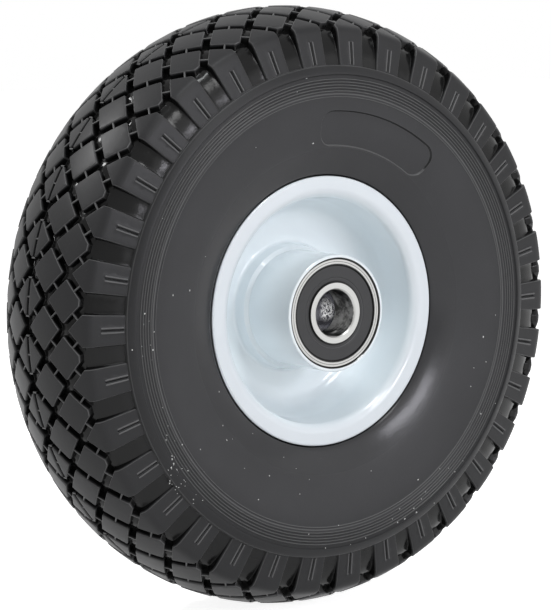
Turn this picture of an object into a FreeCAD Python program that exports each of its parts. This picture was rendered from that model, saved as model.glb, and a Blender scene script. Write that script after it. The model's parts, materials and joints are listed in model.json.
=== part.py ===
import FreeCAD, Part
import math
import os

# Trolley wheel with a solid polyurethane tyre on a pressed steel rim.
# Millimetres. The wheel spins about Y, the front face looks along -Y, Z is up.
# The origin is the wheel's centre. Profiles are drawn as (radius, y) and turned about Y.

V = FreeCAD.Vector
CENTRE = V(0, 0, 0)
SPIN_AXIS = V(0, 1, 0)

# Tyre
tyre_diameter = 260.0
crown_radius = 60.0
shoulder_y = 32.0
tyre_width = 76.0
groove_depth = 3.5
wall_bulge = 2.4

# Tread: rows of diamonds between two rows of shoulder lugs
pitch_count = 34
row_step = 11.0
groove_width = 2.7
lug_share = 0.59
outer_diamond_cut = 7.2
block_root = 1.2

# Sidewall: the rib inside the lugs, and the lip beside the rim
rib_outer_radius = 105.0
rib_width = 4.0
rib_height = 0.7
rib_fall = 1.7
lug_overlap = 0.2
lug_foot_drop = 0.9
gap_foot_drop = 2.3
lip_height = 0.8

# Rim
bead_seat_radius = 50.8
flange_diameter = 115.3
rim_width = 56.8
sheet = 1.8
flange_bend = 3.0
wall_lean = 2.4
bowl_bend = 14.0
collar_bend = 3.0
collar_height = 7.4
tyre_seat_gap = 0.1
tyre_lip_gap = 0.5

# Hub tube
hub_length = 75.0
hub_wall = 1.5
shoulder_wall = 3.0
bearing_recess = 0.5
hub_chamfer = 0.3

# Deep groove ball bearing, 20 x 47 x 14, sealed on both sides
bearing_bore = 20.0
bearing_od = 47.0
bearing_width = 14.0
ring_chamfer = 0.6
ball_diameter = 7.938
ball_count = 8
ball_play = 0.03
groove_conformity = 0.52
inner_land_radius = 14.4
outer_land_radius = 19.2

# Seals, one in each side of each bearing
seal_land_radius = 13.2
seal_lip_gap = 0.15
seal_seat_radius = 20.75
seal_bead = 0.45
seal_bead_width = 0.5
seal_thickness = 0.9
seal_recess = 0.35
seal_edge_gap = 0.35
seal_lip_taper = 1.0
seal_lip_land = 1.6
seal_step_run = 0.6
seal_step_drop = 0.3
seal_rounding = 0.2

# Ball cage: two pressed ribbons riveted together between the balls
cage_sheet = 0.7
cage_width = 2.8
cage_play = 0.1
rivet_radius = 0.6
rivet_head_radius = 1.1
rivet_head_height = 0.5

# Spacer sleeve between the two inner rings
sleeve_clearance = 0.2
sleeve_wall = 2.3

# Worked out from the sizes above
tyre_radius = tyre_diameter / 2
crown_centre = tyre_radius - crown_radius
side_y = tyre_width / 2
pitch_angle = 360.0 / pitch_count
flange_radius = flange_diameter / 2
flange_y = rim_width / 2
bearing_inner = bearing_bore / 2
bearing_outer = bearing_od / 2
hub_radius = bearing_outer + hub_wall
bearing_face_y = hub_length / 2 - bearing_recess
bearing_middle_y = bearing_face_y - bearing_width / 2
ball_radius = ball_diameter / 2
ball_circle = (bearing_inner + bearing_outer) / 2
race_radius = groove_conformity * ball_diameter
bead_bevel = flange_bend - sheet / 2


def flat(point):
    """A (radius, y) pair as a point of the profile plane."""
    return V(point[0], point[1], 0)


def line(start, end):
    return Part.makeLine(flat(start), flat(end))


def arc(start, middle, end):
    return Part.Arc(flat(start), flat(middle), flat(end)).toShape()


def turned(edges, angle=360.0):
    """The solid that a closed profile makes when it turns about the spin axis."""
    wire = Part.Wire(Part.__sortEdges__(edges))
    return Part.Face(wire).revolve(CENTRE, SPIN_AXIS, angle)


def mirrored(edges):
    """The same profile edges on the other side of the wheel's middle plane."""
    return [edge.mirror(CENTRE, SPIN_AXIS) for edge in edges]


def rounded_outline(corners):
    """Closed profile through (radius, y, corner rounding) points."""
    edges = []
    joints = []
    for index, corner in enumerate(corners):
        here = flat(corner)
        back = (flat(corners[index - 1]) - here).normalize()
        ahead = (flat(corners[(index + 1) % len(corners)]) - here).normalize()
        if corner[2] <= 0:
            joints.append((here, here))
            continue
        half = back.getAngle(ahead) / 2
        reach = corner[2] / math.tan(half)
        depth = corner[2] / math.sin(half) - corner[2]
        first = here + back * reach
        middle = here + (back + ahead).normalize() * depth
        last = here + ahead * reach
        edges.append(Part.Arc(first, middle, last).toShape())
        joints.append((first, last))
    for index, joint in enumerate(joints):
        start = joints[index - 1][1]
        if start.distanceToPoint(joint[0]) > 1e-6:
            edges.append(Part.makeLine(start, joint[0]))
    return edges


def sheet_section(path, thickness):
    """Closed profile of a bent sheet whose middle follows (radius, y, bend radius) points."""
    left = []
    right = []
    count = len(path)
    for index, point in enumerate(path):
        here = flat(point)
        before = flat(path[max(index - 1, 0)])
        after = flat(path[min(index + 1, count - 1)])
        way_in = here - before if index > 0 else after - here
        way_out = after - here if index < count - 1 else here - before
        way_in.normalize()
        way_out.normalize()
        normal_in = V(-way_in.y, way_in.x, 0)
        normal_out = V(-way_out.y, way_out.x, 0)
        mitre = (normal_in + normal_out) * (1 / (1 + normal_in.dot(normal_out)))
        turn = math.copysign(1, way_in.cross(way_out).z)
        inside = point[2] - turn * thickness / 2 if point[2] > 0 else 0
        outside = point[2] + turn * thickness / 2 if point[2] > 0 else 0
        near = here + mitre * (thickness / 2)
        far = here - mitre * (thickness / 2)
        left.append((near.x, near.y, inside))
        right.append((far.x, far.y, outside))
    return rounded_outline(left + right[::-1])


def wheel_point(radius, y, around=0.0):
    """Point at a radius from the axle, a y, and an angle round the axle in radians."""
    return V(radius * math.cos(around), y, radius * math.sin(around))


def crown_spot(arc_length, around=0.0, drop=0.0):
    """Point on the crown, given by the way round its curve from the middle and an angle round the axle."""
    lean = arc_length / crown_radius
    reach = crown_radius - drop
    return wheel_point(crown_centre + reach * math.cos(lean), reach * math.sin(lean), around)


def crown_at(y, drop=0.0):
    """Point of the crown, or of the groove floor under it, at a given y."""
    reach = crown_radius - drop
    return (crown_centre + math.sqrt(reach * reach - y * y), y)


def solid_from(loops):
    """Solid with flat faces, each given as a loop of points."""
    shell = Part.makeShell([Part.Face(Part.makePolygon(loop + loop[:1])) for loop in loops])
    shell.sewShape()
    solid = Part.makeSolid(shell)
    if solid.Volume < 0:
        solid.reverse()
    return solid


def gap_foot():
    """Where the floor of the gap between two lugs meets the rib."""
    return (rib_outer_radius, side_y - rib_fall - gap_foot_drop)


def floor_edge():
    """Where the groove floor turns down into the gaps between the lugs."""
    return crown_at(shoulder_y - groove_depth, groove_depth)


def gap_top():
    """The gap's floor carried on upwards until it meets the crown's height."""
    foot = gap_foot()
    edge = floor_edge()
    steepness = (edge[1] - foot[1]) / (edge[0] - foot[0])
    radius = edge[0] + groove_depth
    return (radius, edge[1] + groove_depth * steepness)


def seat_edge():
    """End of the tyre's seat on the rim, where the bevel that clears the flange's bend begins."""
    return (bead_seat_radius + tyre_seat_gap, flange_y - sheet - tyre_seat_gap - bead_bevel)


def sidewall_edges():
    """Profile of one side of the tyre, from its seat out to the top of the lug gaps."""
    seat = seat_edge()
    bead = (seat[0] + bead_bevel, seat[1] + bead_bevel)
    lip = flange_radius + tyre_lip_gap
    lip_y = flange_y + lip_height
    wall_y = side_y - rib_height
    rib_inner = rib_outer_radius - rib_width
    rib_edge = (rib_outer_radius, side_y - rib_fall)
    bulge = ((lip + rib_inner) / 2, (lip_y + wall_y) / 2 + wall_bulge)
    return [
        line(seat, bead),
        line(bead, (lip, bead[1])),
        line((lip, bead[1]), (lip, lip_y)),
        line((lip, lip_y), bulge),
        line(bulge, (rib_inner, wall_y)),
        line((rib_inner, wall_y), (rib_inner, side_y)),
        line((rib_inner, side_y), rib_edge),
        line(rib_edge, gap_foot()),
        line(gap_foot(), gap_top()),
    ]


def groove_floor():
    """Barrel of flat facets along the groove floor, one for each pitch and row, flaring past the sides."""
    rows = math.ceil(crown_radius * math.asin(shoulder_y / crown_radius) / row_step)
    angles = [math.radians(index * pitch_angle) for index in range(pitch_count)]
    flare = (tyre_radius + groove_depth, side_y + groove_depth)
    rings = [[wheel_point(flare[0], -flare[1], around) for around in angles]]
    for row in range(-rows, rows + 1):
        rings.append([crown_spot(row * row_step, around, groove_depth) for around in angles])
    rings.append([wheel_point(*flare, around) for around in angles])
    faces = [rings[0], rings[-1]]
    for ring, following in zip(rings, rings[1:]):
        for index in range(pitch_count):
            faces.append([ring[index - 1], ring[index], following[index], following[index - 1]])
    return solid_from(faces)


def carcass():
    """The tyre without its tread blocks: a plain ring, trimmed to the groove floor."""
    top = gap_top()
    side = sidewall_edges()
    edge = seat_edge()
    seat = line((edge[0], -edge[1]), edge)
    outside = arc((top[0], -top[1]), (tyre_radius, 0), top)
    return turned(side + mirrored(side) + [seat, outside]).common(groove_floor())


def groove_lines(arc_length):
    """Tyre radius and half a pitch at a row of the tread, and the slope of the groove lines there."""
    radius = crown_spot(arc_length).x
    half_pitch = math.pi * radius / pitch_count
    return radius, half_pitch, math.atan2(row_step, half_pitch)


def block(arc_length, corners):
    """Tread block with its corners and its peak on the crown, and straight walls down into the carcass."""
    peak = crown_spot(arc_length)
    lean = arc_length / crown_radius
    outward = V(math.cos(lean), math.sin(lean), 0)
    depth = groove_depth + 2 * block_root
    top = [crown_spot(arc_length + across, around) for around, across in corners]
    root = [point - outward * ((point - peak).dot(outward) + depth) for point in top]
    faces = [root]
    for index, point in enumerate(top):
        faces.append([top[index - 1], point, peak])
        faces.append([top[index - 1], root[index - 1], root[index], point])
    return solid_from(faces)


def diamond(arc_length, outer_cut=None):
    """Diamond block of one row, with its outward point cut flat if a distance is given."""
    radius, half_pitch, slope = groove_lines(arc_length)
    around = (half_pitch - groove_width / 2 / math.sin(slope)) / radius
    across = row_step - groove_width / 2 / math.cos(slope)
    if outer_cut is None:
        return block(arc_length, [(around, 0), (0, across), (-around, 0), (0, -across)])
    cut = around * (1 - outer_cut / across)
    corners = [(around, 0), (cut, outer_cut), (-cut, outer_cut), (-around, 0), (0, -across)]
    return block(arc_length, corners)


def lug():
    """One shoulder lug: a pointed end on the crown, then straight sides down to the rib."""
    radius, half_pitch, slope = groove_lines(2 * row_step)
    half_angle = math.radians(lug_share * pitch_angle / 2)
    tip = 2 * row_step + groove_width / 2 / math.cos(slope)
    corner = tip + half_angle * radius * math.tan(slope)
    root = groove_depth + block_root
    crease = crown_at(shoulder_y)
    crease_root = crown_at(shoulder_y - root, root)
    foot = (rib_outer_radius - lug_overlap, side_y - rib_fall - lug_foot_drop)
    foot_root = (foot[0], foot[1] - gap_foot_drop)
    left, right = [
        [
            crown_spot(corner, around),
            wheel_point(*crease, around),
            wheel_point(*foot, around),
            wheel_point(*foot_root, around),
            wheel_point(*crease_root, around),
            crown_spot(corner, around, root),
        ]
        for around in (half_angle, -half_angle)
    ]
    point = crown_spot(tip)
    point_root = crown_spot(tip, 0, root)
    faces = [left, right, [point, left[0], right[0]], [point_root, left[-1], right[-1]]]
    for side in (left, right):
        faces.append([side[0], point, point_root])
        faces.append([side[0], point_root, side[-1]])
    for index in range(1, len(left)):
        faces.append([left[index - 1], left[index], right[index], right[index - 1]])
    return solid_from(faces)


def ring_of(shape, count, phase=0.0):
    """Copies of a shape at even angles round the spin axis."""
    copies = []
    for index in range(count):
        copy = shape.copy()
        copy.rotate(CENTRE, SPIN_AXIS, (index + phase) * 360.0 / count)
        copies.append(copy)
    return copies


def tyre():
    """Solid tyre: carcass, three kinds of diamond rows and a row of lugs on each shoulder."""
    blocks = ring_of(diamond(0), pitch_count, 0.5)
    sides = [
        (diamond(row_step), 0.0),
        (diamond(2 * row_step, outer_diamond_cut), 0.5),
        (lug(), 0.0),
    ]
    for shape, phase in sides:
        blocks += ring_of(shape, pitch_count, phase)
        blocks += ring_of(shape.mirror(CENTRE, SPIN_AXIS), pitch_count, phase)
    return carcass().multiFuse(blocks)


def rim_half(side):
    """One pressed half of the rim: flange, wall, bowl, disc and the collar round the hub."""
    middle = sheet / 2
    wall_radius = bead_seat_radius - middle
    flange_middle = flange_y - middle
    path = [
        (hub_radius + middle, collar_height, 0),
        (hub_radius + middle, middle, collar_bend),
        (wall_radius - wall_lean, middle, bowl_bend),
        (wall_radius, flange_middle, flange_bend),
        (flange_radius, flange_middle, 0),
    ]
    half = turned(sheet_section(path, sheet))
    return half if side > 0 else half.mirror(CENTRE, SPIN_AXIS)


def hub_tube():
    """Hub tube, bored out at each end as a seat for a bearing, with a shoulder behind it."""
    end = hub_length / 2
    shoulder = bearing_face_y - bearing_width
    land = hub_radius - shoulder_wall
    edge = hub_chamfer
    side = [
        line((land, 0), (land, shoulder)),
        line((land, shoulder), (bearing_outer, shoulder)),
        line((bearing_outer, shoulder), (bearing_outer, end - edge)),
        line((bearing_outer, end - edge), (bearing_outer + edge, end)),
        line((bearing_outer + edge, end), (hub_radius - edge, end)),
        line((hub_radius - edge, end), (hub_radius, end - edge)),
        line((hub_radius, end - edge), (hub_radius, 0)),
    ]
    return turned(side + mirrored(side))


def spacer_sleeve():
    """Sleeve round the axle that keeps the two inner rings apart."""
    bore = bearing_inner + sleeve_clearance
    end = bearing_face_y - bearing_width
    outer = bore + sleeve_wall
    return turned(rounded_outline([(bore, -end, 0), (outer, -end, 0), (outer, end, 0), (bore, end, 0)]))


def raceway(circle_radius):
    """The ring of round section that a ball groove is cut with."""
    return Part.makeTorus(circle_radius, race_radius, CENTRE, SPIN_AXIS)


def seal_pocket_y():
    """How far the seals' seats reach in from the bearing's faces."""
    return bearing_width / 2 - seal_recess - seal_thickness


def outer_ring():
    """Outer ring: ball groove in the middle, and a stepped seat for a seal on each side."""
    half = bearing_width / 2
    pocket = seal_pocket_y()
    bead = pocket + seal_bead_width
    chamfer = ring_chamfer
    bead_radius = seal_seat_radius + seal_bead
    side = [
        line((outer_land_radius, 0), (outer_land_radius, pocket)),
        line((outer_land_radius, pocket), (bead_radius, pocket)),
        line((bead_radius, pocket), (bead_radius, bead)),
        line((bead_radius, bead), (seal_seat_radius, bead)),
        line((seal_seat_radius, bead), (seal_seat_radius, half)),
        line((seal_seat_radius, half), (bearing_outer - chamfer, half)),
        line((bearing_outer - chamfer, half), (bearing_outer, half - chamfer)),
        line((bearing_outer, half - chamfer), (bearing_outer, 0)),
    ]
    groove = raceway(ball_circle + ball_radius + ball_play - race_radius)
    return turned(side + mirrored(side)).cut(groove)


def inner_ring():
    """Inner ring: bore for the axle, ball groove, and a land under each seal's lip."""
    half = bearing_width / 2
    pocket = seal_pocket_y()
    chamfer = ring_chamfer
    side = [
        line((bearing_inner, 0), (bearing_inner, half - chamfer)),
        line((bearing_inner, half - chamfer), (bearing_inner + chamfer, half)),
        line((bearing_inner + chamfer, half), (seal_land_radius, half)),
        line((seal_land_radius, half), (seal_land_radius, pocket - seal_lip_gap)),
        line((seal_land_radius, pocket - seal_lip_gap), (inner_land_radius, pocket - seal_lip_gap)),
        line((inner_land_radius, pocket - seal_lip_gap), (inner_land_radius, 0)),
    ]
    groove = raceway(ball_circle - ball_radius - ball_play + race_radius)
    return turned(side + mirrored(side)).cut(groove)


def seal(side):
    """Rubber seal: a flat ring with a bead in the outer ring's seat and a thin free lip."""
    pocket = seal_pocket_y()
    top = pocket + seal_thickness
    bead = pocket + seal_bead_width
    bead_radius = seal_seat_radius + seal_bead
    edge = seal_seat_radius - seal_edge_gap
    lip = seal_land_radius + seal_lip_gap
    lip_top = top - seal_step_drop
    outline = [
        (lip, pocket + seal_lip_gap, 0),
        (lip + seal_lip_taper, pocket, 0),
        (bead_radius, pocket, 0),
        (bead_radius, bead, 0),
        (edge, bead, 0),
        (edge, top, seal_rounding),
        (lip + seal_lip_land + seal_step_run, top, seal_rounding),
        (lip + seal_lip_land, lip_top, seal_rounding / 2),
        (lip, lip_top, seal_rounding / 2),
    ]
    ring = turned(rounded_outline(outline))
    return ring if side > 0 else ring.mirror(CENTRE, SPIN_AXIS)


def balls():
    """The balls, each a solid of its own, evenly spaced on their circle."""
    ball = Part.makeSphere(ball_radius, V(ball_circle, 0, 0))
    return ring_of(ball, ball_count)


def cage_half(side):
    """One pressed half of the cage: a ribbon with a round cup for each ball."""
    inner = ball_circle - cage_width / 2
    outer = ball_circle + cage_width / 2
    pocket = ball_radius + cage_play
    cup = pocket + cage_sheet
    band = turned(rounded_outline([(inner, 0, 0), (outer, 0, 0), (outer, cup, 0), (inner, cup, 0)]))
    ribbon = turned(rounded_outline([
        (inner, 0, 0),
        (outer, 0, 0),
        (outer, cage_sheet, 0),
        (inner, cage_sheet, 0),
    ]))
    domes = ring_of(Part.makeSphere(cup, V(ball_circle, 0, 0)).common(band), ball_count)
    pockets = ring_of(Part.makeSphere(pocket, V(ball_circle, 0, 0)), ball_count)
    hole = Part.makeCylinder(rivet_radius, 4 * cup, V(ball_circle, -2 * cup, 0), SPIN_AXIS)
    half = ribbon.multiFuse(domes).cut(Part.makeCompound(pockets + ring_of(hole, ball_count, 0.5)))
    return half if side > 0 else half.mirror(CENTRE, SPIN_AXIS)


def cage_rivets():
    """The rivets that join the cage halves, one between each two balls."""
    grip = cage_sheet
    top = grip + rivet_head_height
    outline = [
        (0, -top),
        (rivet_head_radius, -top),
        (rivet_head_radius, -grip),
        (rivet_radius, -grip),
        (rivet_radius, grip),
        (rivet_head_radius, grip),
        (rivet_head_radius, top),
        (0, top),
    ]
    corners = [flat(point) for point in outline]
    rivet = Part.Face(Part.makePolygon(corners + corners[:1])).revolve(CENTRE, SPIN_AXIS, 360)
    rivet.translate(V(ball_circle, 0, 0))
    return Part.makeCompound(ring_of(rivet, ball_count, 0.5))


def write(shape, node):
    """One STEP file for each node, with a check that its solids are sound."""
    solids = shape.Solids
    sound = all(solid.isValid() and solid.Volume > 0 for solid in solids)
    whole = solids[0] if len(solids) == 1 else Part.makeCompound(solids)
    whole.exportStep("parts/" + node + ".step")
    print(node, len(solids), "sound" if sound else "BROKEN", round(whole.Volume, 1))


def write_bearing(name, side):
    """All pieces of one bearing, moved to its seat in one end of the hub."""
    pieces = {
        "outer_ring": outer_ring(),
        "inner_ring": inner_ring(),
        "outer_seal": seal(side),
        "inner_seal": seal(-side),
        "cage_outer_half": cage_half(side),
        "cage_inner_half": cage_half(-side),
        "cage_rivets": cage_rivets(),
    }
    for index, ball in enumerate(balls()):
        pieces["ball_" + str(index + 1)] = ball
    for piece, shape in pieces.items():
        shape.translate(V(0, side * bearing_middle_y, 0))
        write(shape, name + "_" + piece)


def main():
    os.makedirs("parts", exist_ok=True)
    write(tyre(), "tyre")
    write(rim_half(-1), "rim_front_half")
    write(rim_half(1), "rim_back_half")
    write(hub_tube(), "hub_tube")
    write(spacer_sleeve(), "spacer_sleeve")
    write_bearing("front_bearing", -1)
    write_bearing("back_bearing", 1)


main()
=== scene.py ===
import json
import math
import random

import bpy
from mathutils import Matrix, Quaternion, Vector
from mathutils.geometry import delaunay_2d_cdt


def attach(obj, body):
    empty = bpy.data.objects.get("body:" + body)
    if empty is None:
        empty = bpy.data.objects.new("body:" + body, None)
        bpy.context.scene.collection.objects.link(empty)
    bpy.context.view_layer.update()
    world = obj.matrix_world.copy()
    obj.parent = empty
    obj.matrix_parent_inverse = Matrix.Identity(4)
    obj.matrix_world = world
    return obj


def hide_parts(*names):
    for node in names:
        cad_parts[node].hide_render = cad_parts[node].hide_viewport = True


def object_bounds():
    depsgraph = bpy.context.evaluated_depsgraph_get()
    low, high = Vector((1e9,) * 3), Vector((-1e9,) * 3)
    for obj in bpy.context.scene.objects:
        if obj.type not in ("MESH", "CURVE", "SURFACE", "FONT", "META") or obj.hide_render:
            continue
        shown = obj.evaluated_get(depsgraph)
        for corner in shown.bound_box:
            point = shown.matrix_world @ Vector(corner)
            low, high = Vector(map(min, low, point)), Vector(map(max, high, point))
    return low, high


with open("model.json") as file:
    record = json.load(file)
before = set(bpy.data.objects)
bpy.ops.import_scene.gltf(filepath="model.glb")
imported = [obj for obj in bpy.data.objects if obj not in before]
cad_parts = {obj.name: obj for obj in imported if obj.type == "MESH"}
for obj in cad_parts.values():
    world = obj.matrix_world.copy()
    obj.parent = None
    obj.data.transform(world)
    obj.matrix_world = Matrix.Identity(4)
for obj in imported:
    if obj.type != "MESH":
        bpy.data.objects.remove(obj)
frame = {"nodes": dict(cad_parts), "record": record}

# The look of a polyurethane trolley wheel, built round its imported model.
# Profiles and tread are in millimetres, as (radius, y) and (distance round, distance across).
# MM turns them into metres. The wheel spins about Y and its front face looks along -Y.

MM = 0.001
cad_low, cad_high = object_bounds()

# Tyre skin
TYRE_RADIUS = cad_high.z / MM
CROWN_RADIUS = 60.0
CROWN_CENTRE = TYRE_RADIUS - CROWN_RADIUS
SHOULDER_Y = 32.0
GROOVE_DEPTH = 3.5
CREASE = CROWN_RADIUS * math.asin(SHOULDER_Y / CROWN_RADIUS)
CREASE_ROUNDING = 1.8
LUG_FOOT = (104.8, 35.4)
GAP_FOOT = (105.0, 34.0)
GAP_BULGE = 0.7
FLOOR_BLEND = 0.5
LEAN_SPREAD = 6.0
BURIED = 1.6

# Tread pattern
PITCHES = 34
PITCH = math.tau / PITCHES
ROW = 11.0
GROOVE_WIDTH = 3.6
LUG_SHARE = 0.59
LUG_HALF_ANGLE = LUG_SHARE * PITCH / 2
DIAMOND_CUT = 7.2
MIDDLE_SLIT = 2.0
CORNER_ROUNDING = 0.5
EDGE_ROUNDING = 0.36
EDGE_MIDDLE = 0.3
WALL_DRAFT = 0.5
FOOT_ROUNDING = 0.2
TIE_WIDTH = 0.75
TIE_DROP = 0.35
TIE_OVERLAP = 0.3
TIE_BEVEL = (0.15, 0.2)
TIE_FOOT = 0.12
TIE_PLACES = (-0.66, 0.0, 0.66)
LUG_SLIT_WIDTH = 0.84
LUG_RIB_OFFSET = 1.07
LUG_RIB_WIDTH = 0.9
LUG_RIB_HEIGHT = 0.3
LUG_SLIT_TOP = 115.0
LUG_SLIT_DEPTH = 0.8
LUG_SLIT_SHORT = 0.9
SADDLE_SHARE = 0.35
SADDLE_REACH = 3.0

# Mesh of the tread: the rings of a slit, as shares of its half width and drop, and the loose points
SLIT_CORE = 0.02
SLIT_RINGS = ((1.0, 0.0), (0.6, 0.8), (0.2, 1.0))
SLIT_STEP = 4.0
DIAMOND_GRID = (3, 3)
LUG_GRID = (2.6, 1.7)
GRID_MARGIN = 0.4
JOIN_REACH = 0.004

# Sidewall
SEAT_RADIUS = 50.9
SEAT_Y = 25.1
BEAD_BEVEL = 2.1
LIP_RADIUS = 58.6
LIP_Y = 28.35
GAP_START = 56.6
GAP_DEPTH = 2.2
LIP_SHAPE = [(0.05, 0.22), (0.18, 0.4), (0.42, 0.54)]
WALL_ROOT = (60.0, 29.5)
WALL_SLOPE = 0.4265
WALL_CURVE = 0.00568
WALL_STEP = 3.0
RIDGES = [91.9, 94.2, 95.45, 96.7, 97.95, 99.2]
RIDGE_HEIGHTS = [0.26, 0.38, 0.38, 0.38, 0.38, 0.38]
RIDGE_HALF_WIDTH = 0.5
RIDGE_CLEARANCE = 1.0
RIDGE_SHAPE = [
    (-1.2, -0.3),
    (-0.7, -0.15),
    (-0.3, 0.75),
    (0.0, 1.0),
    (0.3, 0.75),
    (0.7, -0.15),
    (1.2, -0.3),
]
RIB_INNER = 101.0
RIB_OUTER = GAP_FOOT[0]
RIB_TOP = cad_high.y / MM - 0.05
RIB_EDGE_Y = 36.25
RIB_FALL_POWER = 1.6
RIB_FALL_SHARES = (0.3, 0.5, 0.7, 0.85)
RIB_FOOT_SHAPE = [(-0.7, -0.05), (-0.25, -0.25), (0.0, -0.1)]
RIB_HEAD_SHAPE = [(0.12, -0.15), (0.4, 0.0)]
RIB_EDGE_SHAPE = [(-0.25, 0.05), (-0.03, -0.2), (0.0, -0.6)]
RIB_ROOT = 1.5
SEGMENTS = 6 * PITCHES
SEGMENT_ANGLE = math.tau / SEGMENTS

# Sunken panel on the sidewall. Its inner wall is painted at a depth that makes it lighter, as a painted
# highlight, and its outer wall at a depth that makes it near-black, as painted shade
PANEL_MIDDLE = math.radians(72.4)
PANEL_HALF_ANGLE = math.radians(22.4)
PANEL_RADII = (70.8, 86.0)
PANEL_ROUNDING = 6.0
PANEL_DROP = 0.85
PANEL_WALL = 0.5
PANEL_EDGE_RUN = 0.12
PANEL_EDGE_DROP = 0.06
PANEL_HIGHLIGHT_DEPTH = 0.3
PANEL_SHADE = 1.3
PANEL_RING_STEP = 2.0
PANEL_CORNER_STEPS = 8
PANEL_GRID = (2.2, 1.6)
PANEL_INNER_MARGIN = 1.4
PANEL_OUTER_MARGIN = 1.0
PATCH_BEFORE = 2
PATCH_AFTER = 3

# Dust on the front sidewall: degrees round from and to, radii from and to, number of specks
DUST_FIELDS = [
    (209, 219, 96.5, 101.5, 10),
    (214, 227, 100.5, 104.3, 22),
    (215, 222, 104.3, 106.0, 7),
    (200, 232, 91.0, 99.0, 9),
    (175, 189, 90.0, 103.5, 11),
    (205, 235, 60.0, 95.0, 8),
    (258, 302, 91.0, 103.5, 16),
    (308, 335, 92.0, 103.0, 9),
    (95, 175, 62.0, 103.0, 9),
    (235, 360, 62.0, 95.0, 14),
]
DUST_SIZES = (0.4, 0.85)
DUST_TOP = RIB_TOP - 0.4
SPECK_CORNERS = 6
SPECK_STRETCH = (0.6, 1.6)
SPECK_REACH = (0.35, 0.6)
SPECK_WOBBLE = 0.3
SPECK_RISE = 0.5
SPECK_SINK = 0.12

# Camera, fitted to the rings of the wheel in the photograph
CAMERA_AZIMUTH = math.radians(-35.93)
CAMERA_ELEVATION = math.radians(6.30)
CAMERA_DISTANCE = 1.2
CAMERA_SHIFT = (-3.78 * MM, 0.17 * MM)
CAMERA_LENS = 162.58

# Lamps: name, place in metres along the camera's right, up and back, size in metres, power in watts,
# colour, and roll in degrees
LAMPS = [
    ("key_upper", (0.80, 0.92, 1.15), (0.42, 0.30), 4.6, (1, 1, 1), 0),
    ("key_lower", (1.20, 0.34, 1.15), (0.56, 0.11), 5.8, (0.93, 0.92, 1.0), 45),
    ("fill", (1.75, 0.1, 0.95), (1.9, 1.8), 9.4, (1, 1, 1), 0),
    ("top", (0.33, 1.5, 0.85), (0.4, 0.3), 8, (0.96, 0.99, 1.0), 0),
    ("left_high", (-1.2, 1.2, 0.07), (0.34, 0.34), 13, (1, 1, 1), 0),
    ("left_low", (-1.42, 0.72, 0.57), (0.2, 0.2), 0.8, (1, 1, 1), 0),
]

# Strengths of the white backdrop and floor: seen by the camera and in mirrors, and as plain light
WORLD_SEEN = 1.0
WORLD_LIGHT = 0.13
FLOOR_SEEN = 0.88
FLOOR_LIGHT = 0.0
FLOOR_HALF = 6.0


def mix(low, high, share):
    return low + (high - low) * share


def smoothstep(low, high, value):
    share = min(max((value - low) / (high - low), 0.0), 1.0)
    return share * share * (3 - 2 * share)


def soft_max(first, second, rounding):
    return (first + second + math.sqrt((first - second) ** 2 + rounding ** 2)) / 2


CREASE_POINT = Vector((CROWN_CENTRE + CROWN_RADIUS * math.cos(CREASE / CROWN_RADIUS), SHOULDER_Y))
FLANK = Vector(LUG_FOOT) - CREASE_POINT
FLANK_WAY = FLANK.normalized()
FLANK_END = CREASE + FLANK.length
FLANK_LEAN = math.atan2(-FLANK.x, FLANK.y)
CELL_END = FLANK_END + BURIED
FLOOR_RADIUS = CROWN_RADIUS - GROOVE_DEPTH
FLOOR_EDGE_Y = SHOULDER_Y - GROOVE_DEPTH
FLOOR_EDGE = Vector((CROWN_CENTRE + math.sqrt(FLOOR_RADIUS ** 2 - FLOOR_EDGE_Y ** 2), FLOOR_EDGE_Y))
GAP_RUN = Vector(GAP_FOOT) - FLOOR_EDGE
GAP_NORMAL = Vector((GAP_RUN.y, -GAP_RUN.x)).normalized()


def sharp_skin(across):
    """(radius, y) of the tread's outer skin: the crown's arc, then the straight flank of the lugs."""
    if across < CREASE:
        lean = across / CROWN_RADIUS
        return Vector((CROWN_CENTRE + CROWN_RADIUS * math.cos(lean), CROWN_RADIUS * math.sin(lean)))
    return CREASE_POINT + FLANK_WAY * (across - CREASE)


def flank_reach(radius):
    """How far down the flank, from the crease, a radius is met."""
    return (CREASE_POINT.x - radius) / -FLANK_WAY.x


def skin(across):
    """The same skin with its crease rounded."""
    share = (across - CREASE + CREASE_ROUNDING) / (2 * CREASE_ROUNDING)
    if not 0 < share < 1:
        return sharp_skin(across)
    start = sharp_skin(CREASE - CREASE_ROUNDING)
    end = sharp_skin(CREASE + CREASE_ROUNDING)
    return start * (1 - share) ** 2 + CREASE_POINT * 2 * share * (1 - share) + end * share ** 2


def outward(across):
    """Direction in which the tread stands up from its floor, as (radius, y)."""
    begin = CREASE - LEAN_SPREAD
    end = CREASE + LEAN_SPREAD
    lean = mix(min(across, begin) / CROWN_RADIUS, FLANK_LEAN, smoothstep(begin, end, across))
    return Vector((math.cos(lean), math.sin(lean)))


def floor_drop(across):
    """How far the groove floor lies below the skin."""
    point = skin(across)
    way = outward(across)
    from_centre = point - Vector((CROWN_CENTRE, 0))
    along = from_centre.dot(way)
    to_arc = along - math.sqrt(max(along ** 2 - from_centre.length_squared + FLOOR_RADIUS ** 2, 0))
    share = min(max((point - FLOOR_EDGE).dot(GAP_RUN) / GAP_RUN.length_squared, 0.0), 1.0)
    bulge = 4 * GAP_BULGE * share * (1 - share)
    to_gap = ((point - FLOOR_EDGE).dot(GAP_NORMAL) - bulge) / way.dot(GAP_NORMAL)
    return soft_max(to_arc, to_gap, FLOOR_BLEND)


def floor_at(point, crossings):
    """Drop of the floor at a point of a cell, a little less where grooves cross."""
    nearest = min((point - crossing).length for crossing in crossings)
    return floor_drop(max(point.y, 0)) * (1 - SADDLE_SHARE * math.exp(-(nearest / SADDLE_REACH) ** 2))


def tread_spot(across, drop):
    """(radius, y) at a drop below the skin."""
    return skin(across) - outward(across) * drop


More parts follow.
